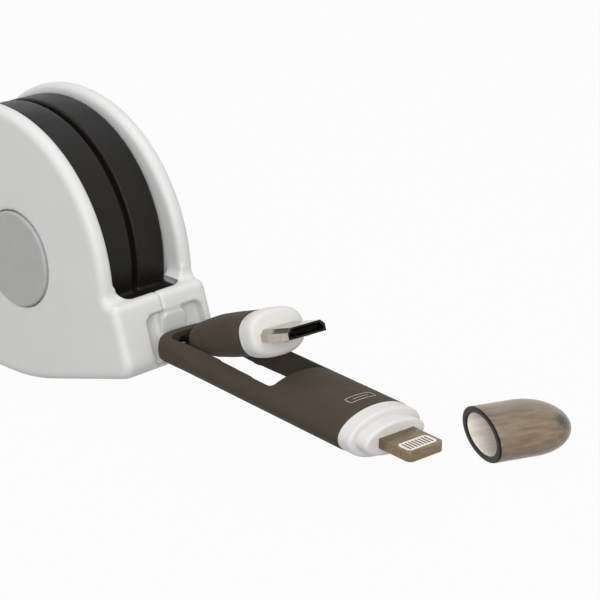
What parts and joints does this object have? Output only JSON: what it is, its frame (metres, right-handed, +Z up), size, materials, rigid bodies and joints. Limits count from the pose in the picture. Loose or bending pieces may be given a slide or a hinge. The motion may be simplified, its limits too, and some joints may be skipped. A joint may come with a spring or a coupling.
{
  "type": "retractable charging cable",
  "caption": "Retractable charging cable: round-cheeked housing with a sprung spool, a push button, a flat cable with a small plug, and a looped adapter with a flat tab and cap.",
  "frame": {"origin": "on the floor, in the middle of the flat foot, straight below the axle", "axes": "+X out of the cable outlet, +Z up, +Y towards the screw side; the button faces -Y"},
  "size_m": [0.1159, 0.0445, 0.0458],
  "materials": {
    "cover_plastic": "satin moulded ABS, pale silver grey",
    "casing_plastic": "fine-grained black ABS",
    "button_plastic": "matt grey moulded face",
    "spool_plastic": "plain acetal",
    "pawl_plastic": "natural acetal",
    "steel": "zinc-plated steel",
    "spring_steel": "tempered strip and wire",
    "cable_jacket": "satin elastomer jacket",
    "grommet_rubber": "matt rubber",
    "grip_elastomer": "matt grey-brown overmould",
    "collar_plastic": "white moulded ABS",
    "plug_steel": "nickel-plated sheet",
    "tab_metal": "satin plated metal",
    "insert_plastic": "white glass-filled insert",
    "tongue_plastic": "black moulded tongue",
    "contact_gold": "gold-plated pads",
    "cap_plastic": "translucent warm brown moulding"
  },
  "bodies": {
    "housing": {"button_side_cover": "cover_plastic", "screw_side_cover": "cover_plastic", "button_side_casing": "casing_plastic", "screw_side_casing": "casing_plastic", "axle": "steel", "pawl_pin": "steel", "pawl_spring": "spring_steel", "button_spring": "spring_steel", "cover_screws": "steel", "rear_grommet": "grommet_rubber", "dust_cap": "cap_plastic"},
    "spool": {"spool": "spool_plastic", "ratchet_flange": "spool_plastic", "spring_cover": "spool_plastic", "mainspring": "spring_steel", "wound_cable": "cable_jacket"},
    "button": {"release_button": "button_plastic"},
    "pawl": {"pawl": "pawl_plastic"},
    "adapter": {"cable_lead": "cable_jacket", "adapter_body": "grip_elastomer", "adapter_collar": "collar_plastic", "adapter_socket": "plug_steel", "adapter_tab": "tab_metal", "contact_insert": "insert_plastic", "adapter_contacts": "contact_gold"},
    "plug": {"plug_tail": "cable_jacket", "plug_grip": "grip_elastomer", "plug_collar": "collar_plastic", "plug_shell": "plug_steel", "plug_tongue": "tongue_plastic"}
  },
  "joints": [
    {"name": "cable_pull", "type": "slide", "parent": "housing", "child": "adapter", "axis": [0.9685, 0, 0.2488], "range_m": [0, 0.0202], "stiffness_N_per_m": 4, "springref_m": -0.12},
    {"name": "spool_spin", "type": "hinge", "parent": "housing", "child": "spool", "pos_m": [0, 0.002, 0.0211], "axis": [0, 1, 0], "range_deg": [-67.5, 0]},
    {"name": "button_press", "type": "slide", "parent": "housing", "child": "button", "axis": [0, 1, 0], "range_m": [0, 0.0013], "stiffness_N_per_m": 41, "springref_m": -0.001, "deforming": ["button_spring"]},
    {"name": "pawl_swing", "type": "hinge", "parent": "housing", "child": "pawl", "pos_m": [0.007, -0.0015, 0.0286], "axis": [0, 1, 0], "range_deg": [0, 7.56]},
    {"name": "plug_fold", "type": "hinge", "parent": "adapter", "child": "plug", "pos_m": [0.0335, 0.002, 0.012], "axis": [-0.1392, -0.9903, 0], "range_deg": [0, 60], "stiffness_Nm_per_rad": 0.004}
  ],
  "couplings": [
    {"joint": "spool_spin", "follows": "cable_pull", "rad_per_m": -58.309},
    {"joint": "pawl_swing", "follows": "button_press", "rad_per_m": 101.4}
  ]
}
